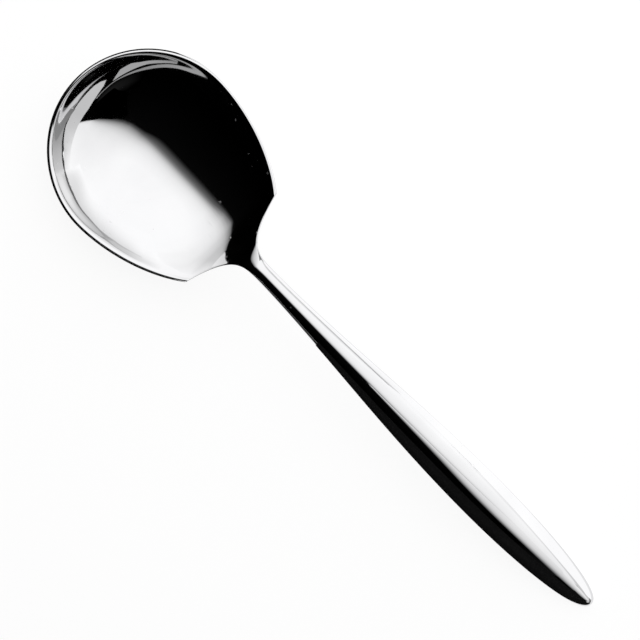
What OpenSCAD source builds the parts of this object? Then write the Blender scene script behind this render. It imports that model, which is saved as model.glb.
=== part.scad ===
// Serving spoon with a forged bowl and a hollow handle of two pressed half shells.
// Millimetres. The spoon lies on the table at z = 0, bowl towards -X, handle towards +X.
// Stations along the spoon are measured from the tip of the bowl.

/* [Bowl outline] */
// Greatest width of the bowl
bowl_width = 67; // [56:0.5:76]
// From the tip of the bowl to its widest place
nose_length = 34; // [30:0.5:40]
// From the widest place to the cut shoulders
heel_length = 38.5; // [32:0.5:46]
// Width across the cut shoulders
shoulder_width = 41.2; // [32:0.2:48]
// How full the sides stay between the widest place and the shoulders
side_power = 1.8; // [1.5:0.1:2.4]
// From the shoulders to the narrowest place of the neck
sweep_length = 17.5; // [14:0.5:24]
// How sharply the outline turns in behind the shoulders
sweep_power = 4; // [3:0.5:5]

/* [Bowl depth] */
// Thickness of the bowl's metal
bowl_wall = 2; // [1.4:0.1:2.6]
// Upright half axis of the dome that the inside of the bowl follows
dome_height = 28; // [24:0.5:34]
// From the tip of the bowl to the middle of its dome
dome_at = 34; // [30:0.5:37]
// How far the dome runs on past the tip
nose_margin = 1.8; // [1.2:0.1:5]
// How far the dome runs on past the sides
side_margin = 5; // [3.5:0.1:10]
// How far the dome runs on past the shoulders
heel_margin = 24; // [16:0.5:36]
// How full the dome is along the spoon, with 2 an ellipse
dome_power = 2.3; // [2:0.05:2.5]
// Rise of the bowl towards the neck, in degrees
bowl_incline = 6; // [0:0.5:8]
// Thickness of the flat along the rim and along the handle's edge
edge_flat = 0.16; // [0.1:0.02:0.4]

/* [Neck] */
// Width of the neck at its narrowest place
neck_width = 6; // [5:0.1:8]
// Thickness of the neck at its narrowest place
neck_thickness = 4.6; // [4:0.1:6]
// Height of the neck's middle above the table, at its highest
neck_height = 20.5; // [17:0.5:24]
// From the narrowest place of the neck to the mouth of the handle
neck_length = 14; // [8:0.5:24]
// How far before the shoulders the bowl starts to run into the neck
blend_length = 4.5; // [2:0.5:12]
// How far behind the shoulders the neck starts to grow its rounded section
crown_start = 3.5; // [0:0.5:6]

/* [Handle] */
// Greatest width of the handle
handle_width = 15.6; // [12:0.2:20]
// Greatest thickness of the handle
handle_thickness = 9; // [7:0.1:12]
// From the narrowest place of the neck to the fullest place of the handle
swell_length = 100; // [85:1:130]
// From the fullest place of the handle to its end
tail_length = 50; // [36:1:70]
// How far past the narrowest place the neck is at its highest
crest_offset = 15; // [8:0.5:20]
// How slowly the handle swells behind the neck
swell_power = 1.6; // [1.3:0.1:2]
// How blunt the end of the handle is, with 0.5 an ellipse
tail_power = 0.42; // [0.35:0.01:0.5]
// How pointed the handle's edges are, with 0.5 an ellipse
edge_power = 0.8; // [0.5:0.05:0.9]

/* [Shells and joints] */
// Wall of the two half shells
shell_wall = 0.9; // [0.6:0.05:1.1]
// Width of the land where the half shells meet
seam_land = 0.9; // [0.6:0.05:1.1]
// Length of the solid tip behind the handle's hollow
tail_solid = 4; // [2:0.5:8]
// Thickness of the braze between the neck and the mouth of the handle
neck_film = 0.2; // [0.1:0.05:0.4]
// Length of the tang inside the handle
tang_length = 40; // [20:1:50]
// Room for cement between the tang and the shells at the mouth
cement_gap = 0.6; // [0.4:0.05:0.8]
// Depth of cement past the end of the tang
cement_cover = 6; // [3:0.5:12]

/* [Hidden] */

// Stations along the spoon
shoulder_at = nose_length + heel_length;
neck_at = shoulder_at + sweep_length;
mouth_at = neck_at + neck_length;
neck_end = mouth_at - neck_film;
tang_end = mouth_at + tang_length;
bed_end = tang_end + cement_cover;
full_at = neck_at + swell_length;
length = full_at + tail_length;
crest_at = neck_at + crest_offset;
blend_at = shoulder_at - blend_length;
crown_at = shoulder_at + crown_start;

// Half axes of the dome
nose_span = dome_at + nose_margin;
heel_span = shoulder_at - dome_at + heel_margin;
side_span = bowl_width / 2 + side_margin;
heel_reach = heel_length / pow(1 - pow(shoulder_width / bowl_width, 2), 1 / side_power);
// Stretch over which the dome's nose runs into its heel
turn_from = dome_at - nose_length / 2;
turn_to = dome_at + heel_length / 2;
// Sharpness of the rounding at the rim, roundness of the neck's section and fullness of the tang's
rim_power = 50;
neck_power = 0.5;
tang_power = 0.3;

// Steps along and across the surfaces, with an odd number across so that the undersides lie flat on the table
nose_steps = 22;
heel_steps = 16;
sweep_steps = 12;
neck_steps = 4;
tang_steps = 4;
bed_steps = 10;
swell_steps = 8;
tail_steps = 12;
across_steps = 29;
// How closely the steps lie behind the shoulders
sweep_bunching = 1.5;
// Share of a step by which the end of the handle stays blunt
tail_blunt = 0.4;
// Smallest value under a root
tiny = 0.000001;

across = [for (j = [0 : across_steps]) cos(180 * j / across_steps)];
back_across = [for (j = [across_steps : -1 : 0]) across[j]];
row_size = across_steps + 1;
ring_size = 2 * row_size;

bowl_stations = concat(
    [for (i = [1 : nose_steps]) nose_length * (1 - cos(90 * i / nose_steps))],
    [for (i = [1 : heel_steps]) nose_length + heel_length * i / heel_steps],
    [for (i = [1 : sweep_steps]) shoulder_at + sweep_length * pow(i / sweep_steps, sweep_bunching)],
    [for (i = [1 : neck_steps]) neck_at + (neck_end - neck_at) * i / neck_steps]
);
tang_stations = [for (i = [0 : tang_steps]) mouth_at + tang_length * i / tang_steps];
bed_stations = [for (i = [0 : bed_steps]) mouth_at + (bed_end - mouth_at) * i / bed_steps];
shell_stations = concat(
    bed_stations,
    [for (i = [1 : swell_steps]) bed_end + (full_at - bed_end) * i / swell_steps],
    [for (i = [1 : tail_steps]) full_at + tail_length * sin(90 * i / (tail_steps + tail_blunt))]
);

// Runs smoothly from 0 to 1
function ease(t) = let (c = min(max(t, 0), 1)) c * c * c * (c * (6 * c - 15) + 10);
function mix(a, b, t) = a + (b - a) * t;

// Swell of the handle from the neck to its fullest place, and the fall of its tail
function swell(s) = pow(sin(90 * min(max((s - neck_at) / swell_length, 0), 1)), swell_power);
function tail(s, span) = pow(max(1 - pow((s - full_at) / span, 2), 0), tail_power);

// Half of the spoon's width at a station
function half_width(s) =
    s < nose_length ? bowl_width / 2 * sqrt(max(1 - pow(1 - s / nose_length, 2), 0)) :
    s <= shoulder_at ? bowl_width / 2 * sqrt(1 - pow((s - nose_length) / heel_reach, side_power)) :
    s < neck_at ? mix(neck_width, shoulder_width, pow((neck_at - s) / sweep_length, sweep_power)) / 2 :
    s < full_at ? mix(neck_width, handle_width, swell(s)) / 2 :
    handle_width / 2 * tail(s, tail_length);

// Half of the thickness of the neck and handle, and the shape of their section
function half_thickness(s) =
    s < full_at ? mix(neck_thickness, handle_thickness, swell(s)) / 2 :
    handle_thickness / 2 * tail(s, tail_length);
function section_power(s) = mix(neck_power, edge_power, ease((s - neck_at) / swell_length));

// Middle line of the neck and handle: it falls so far that the underside of the handle touches the table
handle_fall = min([
    for (s = shell_stations) (neck_height - half_thickness(s) - edge_flat / 2) / pow(s - crest_at, 2)
]);
function centre(s) = neck_height - handle_fall * pow(s - crest_at, 2);

// Height of the bowl's inside (grow = 0) or outside (grow = bowl_wall) over the middle of the dome
function dome(s, y, grow) =
    let (
        turn = ease((s - turn_from) / (turn_to - turn_from)),
        along = (s - dome_at) * mix(1 / (nose_span + grow), 1 / (heel_span + grow), turn),
        aside = y / (side_span + grow)
    )
    (dome_height + grow) * (1 - sqrt(max(1 - pow(abs(along), dome_power) - aside * aside, tiny))) - grow
        + (s - dome_at) * tan(bowl_incline);

// The lowest place of the bowl's outside lies on the table
bowl_drop = min([for (s = bowl_stations) if (s < blend_at) dome(s, 0, bowl_wall) - edge_flat / 2]);

// Share of the way from the middle of the bowl to its rim
function rim_share(s, u) =
    s < nose_length ? norm([1 - s / nose_length, 2 * u * half_width(s) / bowl_width]) : abs(u);

// Heights of the upper and lower skin of the bowl and neck at station s and share u of the half width;
// along the rim the upper skin falls away to the lower one
function skin(s, u) =
    let (
        y = u * half_width(s),
        inside = dome(s, y, 0) - bowl_drop,
        outside = dome(s, y, bowl_wall) - bowl_drop,
        half = (inside - outside) / 2,
        fall = 2 * half * pow(min(rim_share(s, u), 1), rim_power),
        blend = ease((s - blend_at) / (neck_at - blend_at)),
        crown = ease((s - crown_at) / (neck_at - crown_at)),
        middle = mix((inside + outside) / 2, centre(s), blend),
        section = lens(s, u, half_thickness(s))
    )
    [
        middle + mix(half - fall, section, crown) + edge_flat / 2,
        middle - mix(half, section, crown) - edge_flat / 2
    ];

// Half thickness of a lens-shaped section at share u of its half width
function lens(s, u, half) = half * pow(max(1 - u * u, 0), section_power(s));

// One point at a station: x from the middle of the spoon's length
function place(s, y, z) = [s - length / 2, y, z];

// A ring of points round the bowl and neck: over the top from +Y to -Y, and back underneath
function skin_ring(s) = concat(
    [for (u = across) place(s, u * half_width(s), skin(s, u)[0])],
    [for (u = back_across) place(s, u * half_width(s), skin(s, u)[1])]
);

// The handle's hollow: its stations, half width and half thickness
function hollow_station(s) = s <= full_at ? s : full_at + (s - full_at) * (1 - tail_solid / tail_length);
function hollow_width(s) =
    s <= full_at ? half_width(s) - seam_land :
    (handle_width / 2 - seam_land) * tail(s, tail_length - tail_solid);
function hollow_thickness(s) =
    s <= full_at ? half_thickness(s) - shell_wall :
    (handle_thickness / 2 - shell_wall) * tail(s, tail_length - tail_solid);

// The tang's half width and half thickness leave room for cement at the mouth
tang_width = hollow_width(mouth_at) - cement_gap;
tang_thickness = hollow_thickness(mouth_at) - cement_gap;

// One row of points over the upper half of a section, from +Y to -Y
function upper_row(s, width, thickness, power) = [
    for (u = across)
        place(s, u * width, centre(s) + edge_flat / 2 + thickness * pow(max(1 - u * u, 0), power))
];
// The same row turned half round the middle line, for the lower half
function turn_row(s, row) = [for (p = row) [p[0], -p[1], 2 * centre(s) - p[2]]];
function whole_ring(s, row) = concat(row, turn_row(s, row));

function outer_row(s) = upper_row(s, half_width(s), half_thickness(s), section_power(s));
function hollow_row(s) = upper_row(s, hollow_width(s), hollow_thickness(s), section_power(s));
function tang_ring(s) = whole_ring(s, upper_row(s, tang_width, tang_thickness, tang_power));

function flat(lists) = [for (a = lists) each a];

// Faces of a tube of rings, and of the flat end of a ring
function strip(a, b, c, d) = [[a, c, b], [a, d, c]];
function tube_faces(rings, size) = [
    for (i = [0 : rings - 2], k = [0 : size - 1])
        let (n = (k + 1) % size)
        each strip(i * size + k, i * size + n, (i + 1) * size + n, (i + 1) * size + k)
];
function first_end(first) = [
    for (j = [0 : across_steps - 1])
        each [
            [first + j, first + j + 1, first + 2 * across_steps - j],
            [first + j, first + 2 * across_steps - j, first + 2 * across_steps + 1 - j]
        ]
];
function last_end(first) = [for (f = first_end(first)) [f[0], f[2], f[1]]];

module closed_tube(rings) {
    count = len(rings);
    polyhedron(
        points = flat(rings),
        faces = concat(
            tube_faces(count, ring_size),
            first_end(0),
            last_end((count - 1) * ring_size)
        ),
        convexity = 8
    );
}

// Bowl, shoulders, neck and tang, forged in one piece
module bowl() {
    color("silver")
        closed_tube(concat(
            [for (s = bowl_stations) skin_ring(s)],
            [tang_ring(neck_end)],
            [for (s = tang_stations) tang_ring(s)]
        ));
}

// Faces of a half shell: outer rows first, then as many hollow rows
last = len(shell_stations) - 1;
function outer_at(i, j) = i * row_size + j;
function hollow_at(i, j) = (last + 1 + i) * row_size + j;
shell_faces = concat(
    [for (i = [0 : last - 1], j = [0 : across_steps - 1])
        each strip(outer_at(i, j), outer_at(i, j + 1), outer_at(i + 1, j + 1), outer_at(i + 1, j))],
    [for (i = [0 : last - 1], j = [0 : across_steps - 1])
        each [
            [hollow_at(i, j), hollow_at(i, j + 1), hollow_at(i + 1, j + 1)],
            [hollow_at(i, j), hollow_at(i + 1, j + 1), hollow_at(i + 1, j)]
        ]],
    // Mouth
    [for (j = [0 : across_steps - 1])
        each [
            [outer_at(0, j), outer_at(0, j + 1), hollow_at(0, j + 1)],
            [outer_at(0, j), hollow_at(0, j + 1), hollow_at(0, j)]
        ]],
    // Lands on both sides
    [for (i = [0 : last - 1])
        each [
            [outer_at(i, 0), hollow_at(i, 0), hollow_at(i + 1, 0)],
            [outer_at(i + 1, 0), outer_at(i, 0), hollow_at(i + 1, 0)],
            [outer_at(i, across_steps), outer_at(i + 1, across_steps), hollow_at(i, across_steps)],
            [outer_at(i + 1, across_steps), hollow_at(i + 1, across_steps), hollow_at(i, across_steps)]
        ]],
    // Land and blunt ends at the tail
    [
        [outer_at(last, across_steps), outer_at(last, 0), hollow_at(last, 0)],
        [outer_at(last, across_steps), hollow_at(last, 0), hollow_at(last, across_steps)]
    ],
    [for (j = [1 : across_steps - 1])
        each [
            [outer_at(last, 0), outer_at(last, j + 1), outer_at(last, j)],
            [hollow_at(last, 0), hollow_at(last, j), hollow_at(last, j + 1)]
        ]]
);

// Half shells, pressed from sheet
module front_shell() {
    color("gainsboro")
        polyhedron(
            points = concat(
                flat([for (s = shell_stations) outer_row(s)]),
                flat([for (s = shell_stations) hollow_row(hollow_station(s))])
            ),
            faces = shell_faces,
            convexity = 8
        );
}

module back_shell() {
    color("lightgray")
        polyhedron(
            points = concat(
                flat([for (s = shell_stations) turn_row(s, outer_row(s))]),
                flat([for (s = shell_stations)
                    let (h = hollow_station(s))
                    turn_row(h, hollow_row(h))])
            ),
            faces = shell_faces,
            convexity = 8
        );
}

// Braze film between the lands of the half shells, round the tail
function land_ring(s, side) =
    let (h = hollow_station(s))
    [
        place(s, side * half_width(s), centre(s) + edge_flat / 2),
        place(h, side * hollow_width(h), centre(h) + edge_flat / 2),
        place(h, side * hollow_width(h), centre(h) - edge_flat / 2),
        place(s, side * half_width(s), centre(s) - edge_flat / 2)
    ];

module seam_braze() {
    rings = concat(
        [for (s = shell_stations) land_ring(s, 1)],
        [for (i = [last : -1 : 0]) land_ring(shell_stations[i], -1)]
    );
    count = len(rings);
    corners = len(rings[0]);
    end = (count - 1) * corners;
    color("darkgray")
        polyhedron(
            points = flat(rings),
            faces = concat(
                tube_faces(count, corners),
                [[0, 1, 2, 3]],
                [[end + 3, end + 2, end + 1, end]]
            ),
            convexity = 4
        );
}

// Braze film between the neck and the mouth of the handle, a ring round the tang
module neck_braze() {
    rings = [
        tang_ring(neck_end),
        skin_ring(neck_end),
        whole_ring(mouth_at, outer_row(mouth_at)),
        tang_ring(mouth_at)
    ];
    count = len(rings);
    wrap = count * ring_size;
    color("darkgray")
        polyhedron(
            points = flat(rings),
            faces = [for (f = tube_faces(count + 1, ring_size)) [for (k = f) k % wrap]],
            convexity = 4
        );
}

// Cement that beds the tang in the handle's hollow
module tang_cement() {
    color("dimgray")
        closed_tube(concat(
            [for (i = [tang_steps : -1 : 0]) tang_ring(tang_stations[i])],
            [for (s = bed_stations) whole_ring(s, hollow_row(s))]
        ));
}

bowl();
front_shell();
back_shell();
seam_braze();
neck_braze();
tang_cement();
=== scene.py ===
"""Polished serving spoon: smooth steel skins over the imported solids, on a white table in studio light."""
import functools
import math

import bmesh
import bpy
from mathutils import Matrix, Vector


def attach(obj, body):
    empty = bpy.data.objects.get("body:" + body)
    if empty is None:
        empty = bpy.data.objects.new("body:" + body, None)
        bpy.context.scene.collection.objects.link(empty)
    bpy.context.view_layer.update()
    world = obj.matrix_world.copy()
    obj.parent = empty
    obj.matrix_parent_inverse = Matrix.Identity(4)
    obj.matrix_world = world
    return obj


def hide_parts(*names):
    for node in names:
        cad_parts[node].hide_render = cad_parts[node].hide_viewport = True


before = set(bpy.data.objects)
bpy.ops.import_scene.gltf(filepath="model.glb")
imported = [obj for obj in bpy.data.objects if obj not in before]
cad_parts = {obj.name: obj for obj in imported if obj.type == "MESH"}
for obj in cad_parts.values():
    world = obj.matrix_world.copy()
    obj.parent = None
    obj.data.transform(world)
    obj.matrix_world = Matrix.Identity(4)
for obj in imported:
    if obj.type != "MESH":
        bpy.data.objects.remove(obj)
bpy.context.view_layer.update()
scene = bpy.context.scene

MM = 0.001
QUARTER = math.pi / 2

# The spoon's sizes in metres, its powers and its angle, as in the part's own source
SIZES = {
    "bowl_width": 67 * MM,
    "nose_length": 34 * MM,
    "heel_length": 38.5 * MM,
    "shoulder_width": 41.2 * MM,
    "side_power": 1.8,
    "sweep_length": 17.5 * MM,
    "sweep_power": 4,
    "bowl_wall": 2 * MM,
    "dome_height": 28 * MM,
    "dome_at": 34 * MM,
    "nose_margin": 1.8 * MM,
    "side_margin": 5 * MM,
    "heel_margin": 24 * MM,
    "dome_power": 2.3,
    "bowl_incline": math.tan(math.radians(6)),
    "rim_power": 50,
    "edge_flat": 0.16 * MM,
    "neck_width": 6 * MM,
    "neck_thickness": 4.6 * MM,
    "neck_height": 20.5 * MM,
    "neck_length": 14 * MM,
    "blend_length": 4.5 * MM,
    "crown_start": 3.5 * MM,
    "neck_power": 0.5,
    "handle_width": 15.6 * MM,
    "handle_thickness": 9 * MM,
    "swell_length": 100 * MM,
    "tail_length": 50 * MM,
    "crest_offset": 15 * MM,
    "swell_power": 1.6,
    "tail_power": 0.42,
    "edge_power": 0.8,
    "shell_wall": 0.9 * MM,
    "seam_land": 0.9 * MM,
    "tail_solid": 4 * MM,
    "neck_film": 0.2 * MM,
    "tang_length": 40 * MM,
    "cement_gap": 0.6 * MM,
    "tang_power": 0.3,
}

# Half as many columns as a section has, and the rows along each stretch of the spoon
HALF_COLUMNS = 96
NOSE_ROWS, HEEL_ROWS, SWEEP_ROWS, NECK_ROWS = 70, 70, 60, 24
SWELL_ROWS, TAIL_ROWS, TANG_ROWS = 110, 70, 12
SWEEP_BUNCHING = 1.5
WELD = 0.002 * MM
CREASE = math.radians(50)
EDGE_WEAR_POWER = 40.0


# The steps that also meet plain numbers
PLAIN = {
    "MULTIPLY": lambda a, b: a * b,
    "POWER": lambda a, b: max(a, 0.0) ** b,
    "SQRT": lambda a: math.sqrt(max(a, 0.0)),
    "SINE": math.sin,
    "ABSOLUTE": abs,
    "MINIMUM": min,
    "MAXIMUM": max,
    "LESS_THAN": lambda a, b: float(a < b),
}


class Field:
    """A socket of a node tree that can be reckoned with like a number."""

    def __init__(self, tree, socket):
        self.tree = tree
        self.socket = socket

    def __add__(self, other): return reckon("ADD", self, other)
    def __radd__(self, other): return reckon("ADD", other, self)
    def __sub__(self, other): return reckon("SUBTRACT", self, other)
    def __rsub__(self, other): return reckon("SUBTRACT", other, self)
    def __mul__(self, other): return reckon("MULTIPLY", self, other)
    def __rmul__(self, other): return reckon("MULTIPLY", other, self)
    def __truediv__(self, other): return reckon("DIVIDE", self, other)
    def __rtruediv__(self, other): return reckon("DIVIDE", other, self)


def reckon(step, *values):
    """One step of arithmetic: a Math node where a field takes part, a plain number otherwise."""
    fields = [v for v in values if isinstance(v, Field)]
    if not fields:
        return PLAIN[step](*values)
    tree = fields[0].tree
    node = tree.nodes.new("ShaderNodeMath")
    node.operation = step
    for socket, value in zip(node.inputs, values):
        if isinstance(value, Field):
            tree.links.new(value.socket, socket)
        else:
            socket.default_value = value
    return Field(tree, node.outputs[0])


def root(a): return reckon("SQRT", a)
def power(a, b): return reckon("POWER", a, b)
def square(a): return reckon("MULTIPLY", a, a)
def size_of(a): return reckon("ABSOLUTE", a)
def less(a, b): return reckon("LESS_THAN", a, b)
def clamp(a): return reckon("MINIMUM", reckon("MAXIMUM", a, 0.0), 1.0)
def mix(a, b, share): return a + (b - a) * share
def pick(test, yes, no): return mix(no, yes, test)


def ease(share):
    """Runs smoothly from 0 to 1."""
    c = clamp(share)
    return c * c * c * (c * (6 * c - 15) + 10)


class SpoonForm:
    """The rules of the spoon's shape, for plain numbers and for the fields of a node tree alike."""

    def __init__(self, sizes):
        self.__dict__.update(sizes)

    @functools.cached_property
    def shoulder_at(self): return self.nose_length + self.heel_length

    @functools.cached_property
    def neck_at(self): return self.shoulder_at + self.sweep_length

    @functools.cached_property
    def mouth_at(self): return self.neck_at + self.neck_length

    @functools.cached_property
    def neck_end(self): return self.mouth_at - self.neck_film

    @functools.cached_property
    def full_at(self): return self.neck_at + self.swell_length

    @functools.cached_property
    def length(self): return self.full_at + self.tail_length

    @functools.cached_property
    def crest_at(self): return self.neck_at + self.crest_offset

    @functools.cached_property
    def blend_at(self): return self.shoulder_at - self.blend_length

    @functools.cached_property
    def crown_at(self): return self.shoulder_at + self.crown_start

    @functools.cached_property
    def half_bowl(self): return self.bowl_width / 2

    @functools.cached_property
    def heel_reach(self):
        narrowing = 1 - square(self.shoulder_width / self.bowl_width)
        return self.heel_length / power(narrowing, 1 / self.side_power)

    def swell(self, s):
        share = clamp((s - self.neck_at) / self.swell_length)
        return power(reckon("SINE", QUARTER * share), self.swell_power)

    def tail(self, s, span):
        return power(1 - square((s - self.full_at) / span), self.tail_power)

    def half_width(self, s):
        nose = self.half_bowl * root(1 - square(1 - s / self.nose_length))
        heel = self.half_bowl * root(1 - power((s - self.nose_length) / self.heel_reach, self.side_power))
        sweep = power((self.neck_at - s) / self.sweep_length, self.sweep_power)
        neck = mix(self.neck_width, self.shoulder_width, sweep) / 2
        handle = mix(self.neck_width, self.handle_width, self.swell(s)) / 2
        tail = self.handle_width / 2 * self.tail(s, self.tail_length)
        back = pick(less(s, self.full_at), handle, tail)
        back = pick(less(s, self.neck_at), neck, back)
        back = pick(less(s, self.shoulder_at), heel, back)
        return pick(less(s, self.nose_length), nose, back)

    def half_thickness(self, s):
        handle = mix(self.neck_thickness, self.handle_thickness, self.swell(s)) / 2
        tail = self.handle_thickness / 2 * self.tail(s, self.tail_length)
        return pick(less(s, self.full_at), handle, tail)

    def section_power(self, s):
        return mix(self.neck_power, self.edge_power, ease((s - self.neck_at) / self.swell_length))

    def lens(self, s, u, half):
        return half * power(1 - square(u), self.section_power(s))

    def centre(self, s):
        return self.neck_height - self.handle_fall * square(s - self.crest_at)

    def dome(self, s, y, grow):
        nose_span = self.dome_at + self.nose_margin + grow
        heel_span = self.shoulder_at - self.dome_at + self.heel_margin + grow
        side_span = self.half_bowl + self.side_margin + grow
        turn_from = self.dome_at - self.nose_length / 2
        turn = ease((s - turn_from) / (self.dome_at + self.heel_length / 2 - turn_from))
        along = (s - self.dome_at) * mix(1 / nose_span, 1 / heel_span, turn)
        bend = 1 - root(1 - power(size_of(along), self.dome_power) - square(y / side_span))
        return (self.dome_height + grow) * bend - grow + (s - self.dome_at) * self.bowl_incline

    def rim_share(self, s, u):
        nose = root(square(1 - s / self.nose_length) + square(u * self.half_width(s) / self.half_bowl))
        return reckon("MINIMUM", pick(less(s, self.nose_length), nose, size_of(u)), 1.0)

    def skin(self, s, u):
        """Heights of the upper and lower skin of the bowl and neck; the upper one falls away at the rim."""
        y = u * self.half_width(s)
        inside = self.dome(s, y, 0.0) - self.bowl_drop
        outside = self.dome(s, y, self.bowl_wall) - self.bowl_drop
        fall = power(self.rim_share(s, u), self.rim_power)
        blend = ease((s - self.blend_at) / (self.neck_at - self.blend_at))
        crown = ease((s - self.crown_at) / (self.neck_at - self.crown_at))
        half = (inside - outside) / 2
        middle = mix((inside + outside) / 2, self.centre(s), blend)
        section = self.lens(s, u, self.half_thickness(s))
        over = mix(half * (1 - 2 * fall), section, crown) + self.edge_flat / 2
        under = mix(half, section, crown) + self.edge_flat / 2
        return middle + over, middle - under

    @functools.cached_property
    def hollow_tail(self): return self.tail_length - self.tail_solid

    def hollow_station(self, s):
        past = (s - self.full_at) * (1 - self.tail_solid / self.tail_length)
        return pick(less(s, self.full_at), s, self.full_at + past)

    def hollow_width(self, s):
        tail = (self.handle_width / 2 - self.seam_land) * self.tail(s, self.hollow_tail)
        return pick(less(s, self.full_at), self.half_width(s) - self.seam_land, tail)

    def hollow_thickness(self, s):
        tail = (self.handle_thickness / 2 - self.shell_wall) * self.tail(s, self.hollow_tail)
        return pick(less(s, self.full_at), self.half_thickness(s) - self.shell_wall, tail)

    @functools.cached_property
    def tang_width(self): return self.hollow_width(self.mouth_at) - self.cement_gap

    @functools.cached_property
    def tang_thickness(self): return self.hollow_thickness(self.mouth_at) - self.cement_gap

    def tang_rise(self, u):
        return self.edge_flat / 2 + self.tang_thickness * power(1 - square(u), self.tang_power)


def settle(sizes):
    """Lays the spoon on the table: how far the bowl drops, and how fast the handle falls to touch down."""
    form = SpoonForm(dict(sizes))
    steps = 400
    bowl = [form.blend_at * i / steps for i in range(1, steps)]
    handle = [form.mouth_at + (form.length - form.mouth_at) * i / steps for i in range(steps // 2, steps)]
    clear = form.neck_height - form.edge_flat / 2
    sizes["bowl_drop"] = min(form.dome(s, 0.0, form.bowl_wall) for s in bowl) - form.edge_flat / 2
    sizes["handle_fall"] = min((clear - form.half_thickness(s)) / square(s - form.crest_at) for s in handle)


settle(SIZES)


class Skin:
    """A node tree that bends grids of points into one piece of the spoon."""

    def __init__(self, name):
        self.tree = bpy.data.node_groups.new(name, "GeometryNodeTree")
        for size, value in SIZES.items():
            socket = self.tree.interface.new_socket(size, in_out="INPUT", socket_type="NodeSocketFloat")
            socket.default_value = value
        self.tree.interface.new_socket("Mesh", in_out="OUTPUT", socket_type="NodeSocketGeometry")
        given = self.tree.nodes.new("NodeGroupInput")
        self.form = SpoonForm({size: Field(self.tree, given.outputs[size]) for size in SIZES})
        self.join = self.tree.nodes.new("GeometryNodeJoinGeometry")

    def lattice(self, rows, columns):
        """A new grid; gives the row and the column number of its points."""
        self.grid = self.tree.nodes.new("GeometryNodeMeshGrid")
        self.grid.inputs["Vertices X"].default_value = rows
        self.grid.inputs["Vertices Y"].default_value = columns
        parts = self.tree.nodes.new("ShaderNodeSeparateXYZ")
        self.tree.links.new(self.grid.outputs["UV Map"], parts.inputs[0])
        row = reckon("ROUND", Field(self.tree, parts.outputs["X"]) * (rows - 1.0))
        column = reckon("ROUND", Field(self.tree, parts.outputs["Y"]) * (columns - 1.0))
        return row, column

    def place(self, s, y, z, wear):
        """Sends the grid's points to their places, and notes on each how near an edge it lies."""
        spot = self.tree.nodes.new("ShaderNodeCombineXYZ")
        for socket, value in zip(spot.inputs, (s - self.form.length / 2, y, z)):
            self.tree.links.new(value.socket, socket)
        note = self.tree.nodes.new("GeometryNodeStoreNamedAttribute")
        note.data_type = "FLOAT"
        note.domain = "POINT"
        note.inputs["Name"].default_value = "wear"
        move = self.tree.nodes.new("GeometryNodeSetPosition")
        self.tree.links.new(self.grid.outputs["Mesh"], note.inputs["Geometry"])
        self.tree.links.new(wear.socket, note.inputs["Value"])
        self.tree.links.new(note.outputs["Geometry"], move.inputs["Geometry"])
        self.tree.links.new(spot.outputs[0], move.inputs["Position"])
        self.tree.links.new(move.outputs["Geometry"], self.join.inputs[0])

    def baked(self, name, finish):
        """Closes the seams and poles, sets the finish and gives the piece as a plain mesh object."""
        weld = self.tree.nodes.new("GeometryNodeMergeByDistance")
        weld.inputs["Distance"].default_value = WELD
        real = self.tree.nodes.new("GeometryNodeRealizeInstances")
        coat = self.tree.nodes.new("GeometryNodeSetMaterial")
        coat.inputs["Material"].default_value = finish
        last = self.tree.nodes.new("NodeGroupOutput")
        chain = (self.join, weld, real, coat, last)
        for a, b in zip(chain, chain[1:]):
            self.tree.links.new(a.outputs[0], b.inputs[0])
        piece = bpy.data.objects.new(name, bpy.data.meshes.new(name))
        scene.collection.objects.link(piece)
        modifier = piece.modifiers.new(name, "NODES")
        modifier.node_group = self.tree
        for item in self.tree.interface.items_tree:
            if item.in_out == "INPUT":
                modifier[item.identifier] = float(SIZES[item.name])
        ready = piece.evaluated_get(bpy.context.evaluated_depsgraph_get())
        mesh = bpy.data.meshes.new_from_object(ready)
        piece.modifiers.clear()
        piece.data = mesh
        mesh.name = name
        work = bmesh.new()
        work.from_mesh(mesh)
        bmesh.ops.recalc_face_normals(work, faces=work.faces)
        work.to_mesh(mesh)
        work.free()
        mesh.shade_smooth()
        mesh.set_sharp_from_angle(angle=CREASE)
        return piece


def stretch(row, first, count):
    """Share of the way along a stretch of rows."""
    return clamp((row - float(first)) / float(count))


def round_section(column):
    """Share across the width, and 1 over or -1 under, for a column on its way round a section."""
    around = reckon("FLOORED_MODULO", column, 2.0 * HALF_COLUMNS + 2)
    over = less(around, HALF_COLUMNS + 0.5)
    angle = (around - (1 - over) * (HALF_COLUMNS + 1.0)) * (math.pi / HALF_COLUMNS)
    side = 2 * over - 1
    return reckon("COSINE", angle) * side, side


ROUND_COLUMNS = 2 * HALF_COLUMNS + 3


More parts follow.
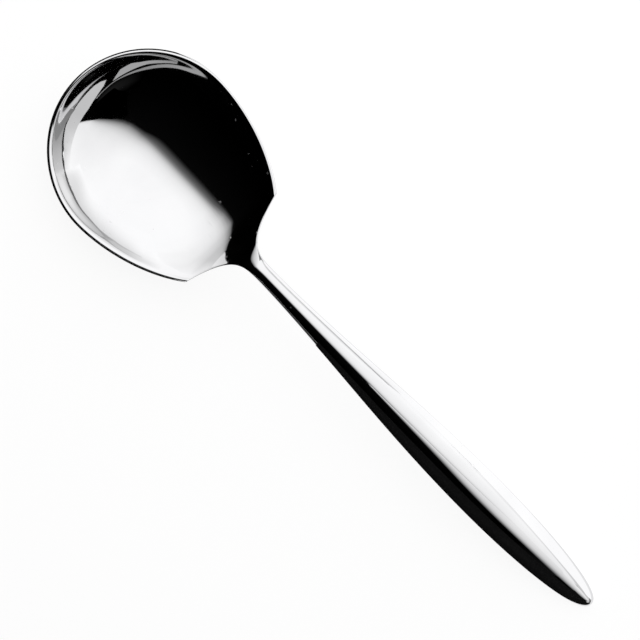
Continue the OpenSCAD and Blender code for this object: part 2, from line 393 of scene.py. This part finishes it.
def make_bowl(finish):
    """Bowl, shoulders and neck in one skin, with the tang behind them."""
    skin = Skin("bowl_rule")
    form = skin.form
    neck_from = NOSE_ROWS + HEEL_ROWS + SWEEP_ROWS
    last = neck_from + NECK_ROWS
    row, column = skin.lattice(last + 2, ROUND_COLUMNS)
    u, side = round_section(column)
    s = form.nose_length * (1 - reckon("COSINE", QUARTER * stretch(row, 0, NOSE_ROWS)))
    s = s + form.heel_length * stretch(row, NOSE_ROWS, HEEL_ROWS)
    s = s + form.sweep_length * power(stretch(row, NOSE_ROWS + HEEL_ROWS, SWEEP_ROWS), SWEEP_BUNCHING)
    s = s + (form.neck_end - form.neck_at) * stretch(row, neck_from, NECK_ROWS)
    shut = less(row, last + 0.5)
    over, under = form.skin(s, u)
    wear = power(form.rim_share(s, u), form.rim_power) * less(s, form.crown_at)
    height = mix(form.centre(s), pick(less(0.0, side), over, under), shut)
    skin.place(s, u * form.half_width(s) * shut, height, wear)

    row, column = skin.lattice(TANG_ROWS + 3, ROUND_COLUMNS)
    u, side = round_section(column)
    s = form.neck_end + (form.tang_length + form.neck_film) * stretch(row, 1, TANG_ROWS)
    shut = less(0.5, row) * less(row, TANG_ROWS + 1.5)
    rise = form.tang_rise(u)
    skin.place(s, u * form.tang_width * shut, form.centre(s) + side * rise * shut, u * 0.0)
    return skin.baked("bowl_skin", finish)


def handle_station(form, row):
    """Stations along the handle, close together at its end."""
    s = form.mouth_at + form.swell_length * stretch(row, 0, SWELL_ROWS)
    s = s - form.neck_length * stretch(row, 0, SWELL_ROWS)
    return s + form.tail_length * reckon("SINE", QUARTER * stretch(row, SWELL_ROWS, TAIL_ROWS))


def make_shell(name, finish, side):
    """One half shell: its outside, its hollow, the lands between them and the mouth."""
    skin = Skin(name + "_rule")
    form = skin.form
    rows = SWELL_ROWS + TAIL_ROWS + 2
    row, column = skin.lattice(rows, ROUND_COLUMNS)
    u, over = round_section(column)
    s = handle_station(form, row - 1.0)
    hollow_s = form.hollow_station(s)
    outer = less(0.5, over) * less(0.5, row)
    station = pick(outer, s, hollow_s)
    width = pick(outer, form.half_width(s), form.hollow_width(hollow_s))
    rise = pick(outer, form.half_thickness(s), form.hollow_thickness(hollow_s))
    height = form.edge_flat / 2 + form.lens(station, u, rise)
    wear = power(size_of(u), EDGE_WEAR_POWER)
    skin.place(station, u * width, form.centre(station) + side * height, wear)
    return skin.baked(name, finish)


def make_seam(finish):
    """Braze film between the lands of the two shells, up one side of the handle and down the other."""
    skin = Skin("seam_rule")
    form = skin.form
    span = SWELL_ROWS + TAIL_ROWS
    row, column = skin.lattice(2 * span + 3, 5)
    walk = clamp((row - 1.0) / (2.0 * span)) * (2.0 * span)
    from_tail = walk - float(span)
    s = handle_station(form, span - size_of(from_tail))
    hand = 1 - 2 * less(from_tail, 0.0)
    corner = reckon("FLOORED_MODULO", column, 4.0)
    inner = less(size_of(corner - 1.5), 1.0)
    over = 2 * less(corner, 1.5) - 1
    open_row = less(0.5, row) * less(row, 2.0 * span + 1.5)
    hollow_s = form.hollow_station(s)
    inner = inner * open_row
    station = pick(inner, hollow_s, s)
    width = pick(inner, form.hollow_width(hollow_s), form.half_width(s))
    height = form.centre(station) + over * open_row * form.edge_flat / 2
    skin.place(station, hand * width, height, width * 0.0)
    return skin.baked("seam_film", finish)


def make_neck_film(finish):
    """Braze film between the neck and the mouth of the handle, a ring round the tang."""
    skin = Skin("neck_film_rule")
    form = skin.form
    row, column = skin.lattice(5, ROUND_COLUMNS)
    u, side = round_section(column)
    step = reckon("FLOORED_MODULO", row, 4.0)
    outer = less(size_of(step - 1.5), 1.0)
    s = form.neck_end + form.neck_film * less(1.5, step)
    width = pick(outer, form.half_width(s), form.tang_width)
    rise = pick(outer, form.edge_flat / 2 + form.lens(s, u, form.half_thickness(s)), form.tang_rise(u))
    skin.place(s, u * width, form.centre(s) + side * rise, u * 0.0)
    return skin.baked("neck_film", finish)


class Finish:
    """A procedural material on Object coordinates, whose sockets are reckoned with as fields."""

    def __init__(self, name):
        self.material = bpy.data.materials.new(name)
        self.material.use_nodes = True
        self.tree = self.material.node_tree
        self.shader = self.tree.nodes["Principled BSDF"]
        self.where = self.tree.nodes.new("ShaderNodeTexCoord").outputs["Object"]

    def stretched(self, scale, turn=0.0):
        """Coordinates scaled along each axis, and turned about the upright one."""
        node = self.tree.nodes.new("ShaderNodeMapping")
        node.inputs["Scale"].default_value = scale
        node.inputs["Rotation"].default_value = (0, 0, turn)
        self.tree.links.new(self.where, node.inputs["Vector"])
        return node.outputs[0]

    def noise(self, scale, detail, vector=None, distortion=0.0):
        node = self.tree.nodes.new("ShaderNodeTexNoise")
        node.inputs["Scale"].default_value = scale
        node.inputs["Detail"].default_value = detail
        node.inputs["Distortion"].default_value = distortion
        self.tree.links.new(vector or self.where, node.inputs["Vector"])
        return Field(self.tree, node.outputs["Fac"])

    def specks(self, scale):
        """Distance to the nearest of many scattered points."""
        node = self.tree.nodes.new("ShaderNodeTexVoronoi")
        node.inputs["Scale"].default_value = scale
        self.tree.links.new(self.where, node.inputs["Vector"])
        return Field(self.tree, node.outputs["Distance"])

    def noted(self, name):
        """What the mesh notes on its points under that name."""
        node = self.tree.nodes.new("ShaderNodeAttribute")
        node.attribute_name = name
        return Field(self.tree, node.outputs["Fac"])

    def ranged(self, field, span, to):
        """Runs smoothly from one value to the other while the field crosses the span."""
        node = self.tree.nodes.new("ShaderNodeMapRange")
        node.interpolation_type = "SMOOTHSTEP"
        for socket, number in zip(list(node.inputs)[1:5], (*span, *to)):
            socket.default_value = number
        self.tree.links.new(field.socket, node.inputs[0])
        return Field(self.tree, node.outputs[0])

    def shade(self, share, dark, light):
        """Colour between the dark and the light one."""
        node = self.tree.nodes.new("ShaderNodeMix")
        node.data_type = "RGBA"
        colours = [s for s in node.inputs if s.type == "RGBA"]
        colours[0].default_value = (*dark, 1)
        colours[1].default_value = (*light, 1)
        self.tree.links.new(share.socket, node.inputs[0])
        return Field(self.tree, [s for s in node.outputs if s.type == "RGBA"][0])

    def bump(self, height, strength, depth):
        node = self.tree.nodes.new("ShaderNodeBump")
        node.inputs["Strength"].default_value = strength
        node.inputs["Distance"].default_value = depth
        self.tree.links.new(height.socket, node.inputs["Height"])
        self.tree.links.new(node.outputs[0], self.shader.inputs["Normal"])

    def wire(self, name, field):
        self.tree.links.new(field.socket, self.shader.inputs[name])


def polished(name, dark, light):
    """Mirror-polished metal: wipe marks, polishing lines, scuffs, a little dust and a softened edge."""
    finish = Finish(name)
    finish.shader.inputs["Metallic"].default_value = 1.0
    clouds = finish.noise(scale=38.0, detail=3.0, distortion=0.4)
    lines = finish.noise(scale=1.0, detail=3.0, vector=finish.stretched((60.0, 2600.0, 2600.0)))
    dust_specks = finish.ranged(finish.specks(300.0), (0.06, 0.18), (1.0, 0.0))
    dust_places = finish.ranged(finish.noise(scale=60.0, detail=1.0), (0.57, 0.64), (0.0, 1.0))
    dust = dust_specks * dust_places
    strokes = finish.noise(scale=1.0, detail=1.0, vector=finish.stretched((90.0, 900.0, 500.0), turn=0.7))
    scuff_places = finish.ranged(finish.noise(scale=45.0, detail=1.0), (0.55, 0.65), (0.0, 1.0))
    scuffs = finish.ranged(strokes, (0.68, 0.76), (0.0, 1.0)) * scuff_places
    rough = finish.ranged(clouds, (0.35, 0.7), (0.028, 0.05))
    rough = rough + finish.ranged(lines, (0.5, 0.75), (0.0, 0.02))
    rough = rough + finish.noted("wear") * 0.09 + scuffs * 0.14 + dust * 0.4
    finish.wire("Roughness", rough)
    tone = finish.ranged(clouds, (0.3, 0.75), (0.0, 0.7)) + dust * 0.3
    finish.wire("Base Color", finish.shade(tone, dark, light))
    finish.bump(lines + dust * 2.0, strength=0.03, depth=0.01 * MM)
    return finish.material


def cement(name):
    """Grey cement with sandy grain."""
    finish = Finish(name)
    grain = finish.noise(scale=900.0, detail=4.0)
    clouds = finish.noise(scale=120.0, detail=2.0)
    finish.wire("Base Color", finish.shade(clouds, (0.40, 0.38, 0.35), (0.56, 0.54, 0.50)))
    finish.wire("Roughness", finish.ranged(grain, (0.3, 0.7), (0.75, 0.95)))
    finish.bump(grain, strength=0.4, depth=0.1 * MM)
    return finish.material


steel = polished("polished_steel", (0.74, 0.74, 0.75), (0.80, 0.80, 0.805))
braze = polished("polished_braze", (0.73, 0.725, 0.715), (0.79, 0.785, 0.775))
bedding = cement("tang_bedding")

bowl = make_bowl(steel)
front = make_shell("front_shell_skin", steel, 1.0)
back = make_shell("back_shell_skin", steel, -1.0)
seam = make_seam(braze)
film = make_neck_film(braze)

for piece, node, slot in (
    (bowl, "bowl", "polished_steel"),
    (front, "front_shell", "polished_steel"),
    (back, "back_shell", "polished_steel"),
    (seam, "seam_braze", "braze"),
    (film, "neck_braze", "braze"),
):
    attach(piece, "root")
    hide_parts(node)
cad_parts["tang_cement"].data.materials.clear()
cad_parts["tang_cement"].data.materials.append(bedding)


# Studio: everything below is stage. Directions are azimuth and elevation in degrees, seen from the bowl;
# lengths are in metres. A card of the white level mirrors as white in the steel.
BOWL_X, BOWL_Z = -0.085, 0.012
PANEL_Z, STRIP_Z, END_CARD_Z = 0.9, 0.5, 0.05
END_CARD_ENDS = (0.145, 0.25)
SCREEN_REACH, RIBBON_REACH, VEIL_REACH = 1.5, 0.35, 0.37
HANDLE_CARD_Y, TABLE_CARD_FAR = 0.06, 2.0
SHADE_X, SHADE_HEIGHTS = -0.04, (0.0165, 0.0265)
ROOM_REACH, ROOM_TOP = 9.0, 3.0
CLOTH_REACH = 6.0
TABLE_DROP = 0.05 * MM
WHITE_LEVEL = 1.28
DIM_LEVEL = 0.013
TABLE_GLOW = 0.885


def card(name, points, faces, material):
    """A card that the reflections and the light know of, and the camera doesn't."""
    mesh = bpy.data.meshes.new(name)
    mesh.from_pydata(points, [], faces)
    mesh.materials.append(material)
    sheet = bpy.data.objects.new(name, mesh)
    scene.collection.objects.link(sheet)
    sheet.visible_camera = False
    return sheet


def only_mirrored(sheet):
    """Leaves the card to the reflections alone, so that it throws no shadow."""
    sheet.visible_shadow = False
    sheet.visible_diffuse = False


def glow():
    """Light whose level is noted on the card's corners."""
    material = bpy.data.materials.new("card_light")
    material.use_nodes = True
    tree = material.node_tree
    tree.nodes.clear()
    out = tree.nodes.new("ShaderNodeOutputMaterial")
    light = tree.nodes.new("ShaderNodeEmission")
    note = tree.nodes.new("ShaderNodeAttribute")
    note.attribute_name = "level"
    tree.links.new(note.outputs["Fac"], light.inputs["Strength"])
    tree.links.new(light.outputs[0], out.inputs["Surface"])
    return material


def cloth():
    """Black cloth with no sheen."""
    material = bpy.data.materials.new("black_cloth")
    material.use_nodes = True
    shader = material.node_tree.nodes["Principled BSDF"]
    shader.inputs["Base Color"].default_value = (0.01, 0.01, 0.01, 1)
    shader.inputs["Specular IOR Level"].default_value = 0
    return material


card_light = glow()
black_cloth = cloth()


def woven(columns):
    """Faces between columns of points that all have the same count."""
    count = len(columns[0])
    return [(i * count + j, (i + 1) * count + j, (i + 1) * count + j + 1, i * count + j + 1)
            for i in range(len(columns) - 1) for j in range(count - 1)]


def lit_sheet(name, columns):
    """A sheet of columns of points, each point with its level of light."""
    corners = [corner for column in columns for corner in column]
    sheet = card(name, [point for point, level in corners], woven(columns), card_light)
    levels = sheet.data.attributes.new("level", "FLOAT", "POINT")
    levels.data.foreach_set("value", [level for point, level in corners])
    return sheet


def ray_end(azimuth, elevation, reach):
    """The place that far from the bowl in a direction."""
    a, e = math.radians(azimuth), math.radians(elevation)
    flat = reach * math.cos(e)
    return (BOWL_X + flat * math.cos(a), flat * math.sin(a), BOWL_Z + reach * math.sin(e))


def screen(name, columns, reach=SCREEN_REACH):
    """A bent upright screen: azimuth, lower and upper elevation, and one level of light or one for each."""
    return lit_sheet(name, [
        [(ray_end(azimuth, low, reach), levels[0]), (ray_end(azimuth, high, reach), levels[-1])]
        for azimuth, low, high, *levels in columns
    ])


def light_panel():
    """The long white panel overhead: it brightens slowly behind its near edge, and dims towards both ends.

    Each column is a place along the panel, its near edge there, how softly it begins, how slowly it
    brightens, the level that it nears and the level at its far side. Lengths are in panel heights.
    """
    before = ((-0.12, 0.0), (-0.09, 0.02), (-0.03, 0.1))
    behind = ((0.0, 0.2), (0.03, 0.42), (0.06, 0.62), (0.09, 0.74), (0.12, 0.82), (0.18, 0.89), (0.24, 0.925),
              (0.3, 0.95))
    far_y = 1.8
    columns = []
    for x, edge, soft, slow, level, far_level in (
        (1.62, 0.62, 0.3, 0.2, 1.16, 1.28), (1.29, 0.41, 0.3, 0.3, 1.16, 1.28),
        (0.95, 0.22, 0.4, 0.5, 1.16, 1.28), (0.7, 0.12, 0.5, 0.9, 1.16, 1.28),
        (0.55, 0.055, 0.5, 1.1, 1.17, 1.28), (0.41, -0.005, 0.5, 1.3, 1.18, 1.3),
        (0.27, -0.065, 0.5, 1.5, 1.21, 1.3), (0.14, -0.105, 0.5, 1.6, 1.23, 1.3),
        (0.02, -0.12, 0.5, 1.5, 1.26, 1.3), (-0.1, -0.13, 0.6, 1.3, 1.28, 1.3),
        (-0.3, -0.165, 1.0, 1.0, 1.3, 1.3), (-0.5, -0.185, 1.0, 1.0, 1.3, 1.3),
        (-0.66, -0.205, 1.0, 1.15, 1.3, 1.3), (-0.81, -0.26, 0.7, 2.0, 1.28, 1.3),
        (-0.98, -0.27, 0.6, 3.0, 1.2, 1.3), (-1.35, -0.24, 0.5, 3.0, 1.05, 1.25),
        (-2.8, -0.2, 0.4, 3.0, 0.82, 1.2), (-7.5, 0.05, 0.3, 3.0, 0.8, 1.2),
    ):
        spots = [(edge + soft * step, level * share) for step, share in before]
        spots += [(edge + slow * step, level * share) for step, share in behind]
        spots.append((far_y, far_level))
        along = BOWL_X + x * PANEL_Z
        columns.append([((along, y * PANEL_Z, PANEL_Z), spot_level) for y, spot_level in spots])
    lit_sheet("panel", columns)


def light_screens():
    """Screens round the spoon: grey at the tip of the bowl, brighter along the side, thin slivers beside."""
    screen("tip_screen", [
        (-17.5, 14, 14.5, 0.6), (-14, 11, 20.5, 0.68), (-9, 9.3, 24, 0.7), (-4, 9.8, 27, 0.7),
        (6, 11, 31, 0.7), (13, 12, 31.5, 0.7), (24, 14, 32, 0.72, 0.76), (38, 20.3, 33, 0.78, 0.9),
        (45, 23.2, 33, 0.8, 1.0),
    ])
    screen("upper_screen", [
        (45, 23.2, 33, 0.8, 1.0), (56, 24.8, 33, 0.92, 1.15), (62, 24.6, 33, 1.0, 1.25),
        (68, 24.3, 33, 1.2, 1.28), (72, 24, 33, 1.25, 1.28), (80, 23.4, 32, 1.25), (88, 22.5, 31, 1.25),
        (103, 16.5, 30, 1.25), (119, 20, 29, 1.25), (133, 1.5, 25, 1.2, 1.25), (150, 1.5, 16, 1.2),
        (165, 1.5, 9, 1.2), (174, 1.5, 8.2, 1.0), (177, 2.5, 7.8, 0.9), (179, 5, 7.6, 0.85),
    ])
    screen("lower_screen", [
        (-9, 6, 7.5, 0.1, 0.14), (-4, 4, 8.3, 0.16, 0.22), (5, 3, 9.3, 0.2, 0.27), (13, 0, 10.3, 0.26, 0.3),
        (24, 0, 12.3, 0.3, 0.36), (38, 0, 17.7, 0.42, 0.5), (45, 0, 20.2, 0.5, 0.6), (56, 0, 22.1, 0.64, 0.7),
        (62, 0, 22.9, 0.8, 0.75), (68, 0, 23.9, 1.0), (72, 0, 24, 1.2), (80, 0, 23.4, 1.25),
        (88, 0, 22.5, 1.25), (103, 0, 16.5, 1.25), (119, 0, 20, 1.25), (133, 0, 1.5, 1.25),
    ])
    screen("inner_sliver", [
        (-4, 28.3, 29.3, 0.45), (-11, 26.3, 27.3, 0.4), (-19, 24.3, 25.3, 0.35), (-24, 23.3, 24.3, 0.33),
        (-35, 21.5, 24, 0.33), (-44, 20, 23.3, 0.33), (-53, 17.3, 22, 0.33), (-66, 13, 18, 0.36),
        (-76, 9.5, 14, 0.4), (-87, 6, 10, 0.42), (-97, 2.5, 3, 0.42),
    ])
    screen("outer_sliver", [
        (-22, 21.5, 22, 0.47), (-29, 10, 20.3, 0.47), (-37, 7, 18.3, 0.47), (-44, 9, 16, 0.47),
        (-51, 9, 14, 0.45), (-60, 9, 13, 0.4), (-73, 8, 9.3, 0.35),
    ])
    dim_rise = ((0, 0.0), (5, 0.9), (11, 1.0), (20, 0.0))
    dim_along = ((-48, 24, 0.0), (-34, 24, 0.6), (-20, 25, 1.0), (-8, 28, 1.0), (4, 32, 0.0))
    lit_sheet("dim_screen", [
        [(ray_end(azimuth, low + step, SCREEN_REACH), DIM_LEVEL * share * part) for step, part in dim_rise]
        for azimuth, low, share in dim_along
    ])


def dark_ribbon():
    """A thin dark ribbon before the side screen, fading to its end: azimuth, elevation, width and level."""
    line = (
        (66, 25, 1.5, 0.1), (70, 25, 2.3, 0.1), (78, 24.5, 2.4, 0.12), (89, 23, 2.4, 0.14),
        (97, 20, 2.2, 0.2), (103, 17, 1.8, 0.3), (106, 15.4, 1.4, 0.42), (108, 18, 1.0, 0.58),
        (113, 20, 0.8, 0.68), (118, 22, 0.4, 0.9),
    )
    only_mirrored(screen("dark_ribbon", [
        (azimuth, middle - wide / 2, middle + wide / 2, level) for azimuth, middle, wide, level in line
    ], RIBBON_REACH))


def side_veil():
    """A veil behind the ribbon that dims the low side of the bowl towards it; each row follows the ribbon."""
    steps = (-9, -5, -1.5, 1, 5, 9, 14, 20)
    lines = (
        (67, 24.5, (0.96, 0.92, 0.86, 1.14, 1.17, 1.22, 1.25, 1.28)),
        (73, 24.6, (1.1, 1.0, 0.7, 1.02, 1.02, 1.05, 1.14, 1.28)),
        (77, 24.6, (1.15, 1.0, 0.66, 0.98, 0.98, 1.0, 1.1, 1.27)),
        (82, 24.1, (1.15, 1.03, 0.66, 0.97, 0.95, 0.97, 1.06, 1.26)),
        (89, 23, (1.15, 1.05, 0.72, 0.92, 0.94, 0.98, 1.08, 1.26)),
        (97, 20, (1.15, 1.0, 0.66, 0.9, 0.96, 1.02, 1.13, 1.28)),
        (103, 17, (1.05, 0.92, 0.64, 0.92, 0.98, 1.06, 1.17, 1.28)),
        (106, 15.4, (0.95, 0.82, 0.62, 0.95, 1.02, 1.1, 1.2, 1.28)),
        (108, 18, (1.0, 0.85, 0.7, 0.98, 1.08, 1.17, 1.25, 1.28)),
        (113, 20, (0.75, 0.72, 0.8, 1.0, 1.12, 1.22, 1.28, 1.28)),
        (119, 22, (0.92, 0.98, 1.02, 1.15, 1.25, 1.28, 1.28, 1.28)),
        (126, 24, (1.25, 1.25, 1.25, 1.25, 1.28, 1.28, 1.28, 1.28)),
    )
    only_mirrored(lit_sheet("side_veil", [
        [(ray_end(azimuth, middle + step, VEIL_REACH), level) for step, level in zip(steps, levels)]
        for azimuth, middle, levels in lines
    ]))


def handle_light():
    """White cards on the handle's bright side, one upright and one on the table; a grey one by the bowl."""
    tops = ((0.03, 0.037), (0.06, 0.041), (0.1, 0.0465), (0.155, 0.058), (0.25, 0.069))
    only_mirrored(lit_sheet("handle_card", [
        [((x, HANDLE_CARD_Y, z), WHITE_LEVEL) for z in (0, top)] for x, top in tops
    ]))
    shades = ((0.006, 0.24), (0.02, 0.29), (0.037, 0.34))
    only_mirrored(lit_sheet("handle_shade", [
        [((SHADE_X, y, z), level) for z in SHADE_HEIGHTS] for y, level in shades
    ]))
    near_edge = ((-0.1, 0.034), (-0.05, 0.034), (-0.02, 0.03), (0.3, 0.03))
    only_mirrored(lit_sheet("table_card", [
        [((x, y, 0), WHITE_LEVEL) for y in (near, TABLE_CARD_FAR)] for x, near in near_edge
    ]))


def handle_strip():
    """A strip overhead and a card near the end, whose light only the handle takes.

    They let its bright side begin below the crest. Each column of the strip is a place along it and the
    places across it where each level of light is reached.
    """
    levels = (0.0, 0.28, 0.61, 0.87, 1.02)
    columns = (
        (0.06, -0.105, -0.09, -0.078, -0.066, -0.055), (0.1, -0.125, -0.1, -0.075, -0.052, -0.034),
        (0.14, -0.15, -0.108, -0.072, -0.035, -0.004), (0.2, -0.19, -0.13, -0.077, -0.015, 0.024),
        (0.25, -0.235, -0.175, -0.119, -0.04, 0.047), (0.285, -0.255, -0.192, -0.135, -0.054, 0.064),
        (0.33, -0.265, -0.198, -0.14, -0.056, 0.093), (0.375, -0.26, -0.19, -0.13, -0.044, 0.118),
        (0.42, -0.252, -0.18, -0.116, -0.023, 0.14), (0.48, -0.252, -0.17, -0.1, 0.002, 0.17),
        (0.56, -0.267, -0.169, -0.085, 0.036, 0.216), (0.62, -0.27, -0.17, -0.07, 0.05, 0.235),
    )
    strip = lit_sheet("handle_strip", [
        [((x, y, STRIP_Z), level) for y, level in zip(places, levels)] for x, *places in columns
    ])
    across = ((-0.06, 0.0), (-0.0215, 0.0), (-0.0145, 0.3), (-0.0073, 0.58), (0.003, 0.87), (0.0137, 1.05),
              (0.022, 1.15))
    end_card = lit_sheet("handle_end_card", [
        [((x, y, END_CARD_Z), level) for y, level in across] for x in END_CARD_ENDS
    ])
    takers = bpy.data.collections.new("strip_takers")
    for piece in (front, back, seam):
        takers.objects.link(piece)
    for sheet in (strip, end_card):
        only_mirrored(sheet)
        sheet.light_linking.receiver_collection = takers


def black_flags():
    """Black cloth all round, and on the table beside the spoon, where its edges would mirror white."""
    r, c = ROOM_REACH, CLOTH_REACH
    corners = [(x, y, z) for z in (0, ROOM_TOP) for x, y in ((-r, -r), (r, -r), (r, r), (-r, r))]
    walls = [(4, 7, 6, 5), (0, 4, 5, 1), (1, 5, 6, 2), (2, 6, 7, 3), (3, 7, 4, 0)]
    card("flag_room", corners, walls, black_cloth)
    beside = [
        (-c, -c), (c, -c), (c, 0), (0.14, -0.002), (0.122, -0.0075), (0.1, -0.0095), (0.02, -0.0095),
        (0.0, -0.05), (-0.04, -0.05), (-0.045, -0.025), (-0.06, -0.032), (-0.085, -0.0365), (-0.105, -0.032),
        (-0.118, -0.018), (-0.1225, 0), (-0.118, 0.018), (-0.107, 0.031), (-0.12, 0.08), (-0.17, 0.06),
        (-0.19, 0), (-c, 0),
    ]
    lying = [tuple(range(len(beside)))]
    only_mirrored(card("flag_beside", [(x, y, 0) for x, y in beside], lying, black_cloth))
    along = ((-0.004, -0.011, 0.027), (0.012, -0.014, 0.03), (0.05, -0.016, 0.03), (0.09, -0.016, 0.026),
             (0.13, -0.012, 0.022), (0.142, -0.008, 0.03))
    upright = [[(x, y, 0), (x, y, top)] for x, y, top in along]
    points = [point for column in upright for point in column]
    only_mirrored(card("flag_handle", points, woven(upright), black_cloth))


def seen_white(tree, strength):
    """Light that only the camera and reflections see."""
    path = tree.nodes.new("ShaderNodeLightPath")
    total = Field(tree, path.outputs["Is Camera Ray"]) + Field(tree, path.outputs["Is Glossy Ray"])
    total = clamp(total + Field(tree, path.outputs["Is Transmission Ray"]))
    return total * strength


def white_table():
    """Pale floor: part of its white is its own, so the spoon's shadow on it stays faint."""
    mesh = bpy.data.meshes.new("table")
    r = ROOM_REACH
    mesh.from_pydata([(-r, -r, 0), (r, -r, 0), (r, r, 0), (-r, r, 0)], [], [(0, 1, 2, 3)])
    table = bpy.data.objects.new("table", mesh)
    table.location.z = -TABLE_DROP
    scene.collection.objects.link(table)
    material = bpy.data.materials.new("table_white")
    material.use_nodes = True
    tree = material.node_tree
    shader = tree.nodes["Principled BSDF"]
    shader.inputs["Base Color"].default_value = (0.2, 0.2, 0.2, 1)
    shader.inputs["Roughness"].default_value = 0.9
    shader.inputs["Specular IOR Level"].default_value = 0
    shader.inputs["Emission Color"].default_value = (1, 1, 1, 1)
    tree.links.new(seen_white(tree, TABLE_GLOW).socket, shader.inputs["Emission Strength"])
    mesh.materials.append(material)


def white_world():
    """White all round for the camera and the reflections, and no light of its own on the table."""
    world = bpy.data.worlds.new("white_room")
    scene.world = world
    world.use_nodes = True
    tree = world.node_tree
    backdrop = tree.nodes["Background"]
    backdrop.inputs["Color"].default_value = (1, 1, 1, 1)
    tree.links.new(seen_white(tree, 1.0).socket, backdrop.inputs["Strength"])


light_panel()
light_screens()
dark_ribbon()
side_veil()
handle_light()
handle_strip()
black_flags()
white_table()
white_world()


def look_down():
    """Camera almost straight above; the spoon runs from the upper left to the lower right of the picture."""
    tilt, turn = math.radians(5.0), math.radians(45.914)
    reach, aim_height = 1.2, 10 * MM
    picture, scale = 640.0, 1 / (0.32517 * MM)
    middle = (334.60, 342.65)
    z = Vector((0, math.sin(tilt), math.cos(tilt)))
    x = Vector((1, 0, 0))
    y = z.cross(x)
    right = math.cos(turn) * x + math.sin(turn) * y
    up = math.cos(turn) * y - math.sin(turn) * x
    lens = bpy.data.cameras.new("camera")
    camera = bpy.data.objects.new("camera", lens)
    scene.collection.objects.link(camera)
    place = Matrix.Translation(Vector((0, 0, aim_height)) + z * reach)
    camera.matrix_world = place @ Matrix((right, up, z)).transposed().to_4x4()
    lens.sensor_width = 36.0
    lens.lens = lens.sensor_width * reach * scale / picture
    lens.shift_x = (picture / 2 - middle[0]) / picture
    lens.shift_y = (middle[1] - picture / 2) / picture
    lens.clip_end = 50
    scene.camera = camera


look_down()
scene.view_settings.view_transform = "Standard"
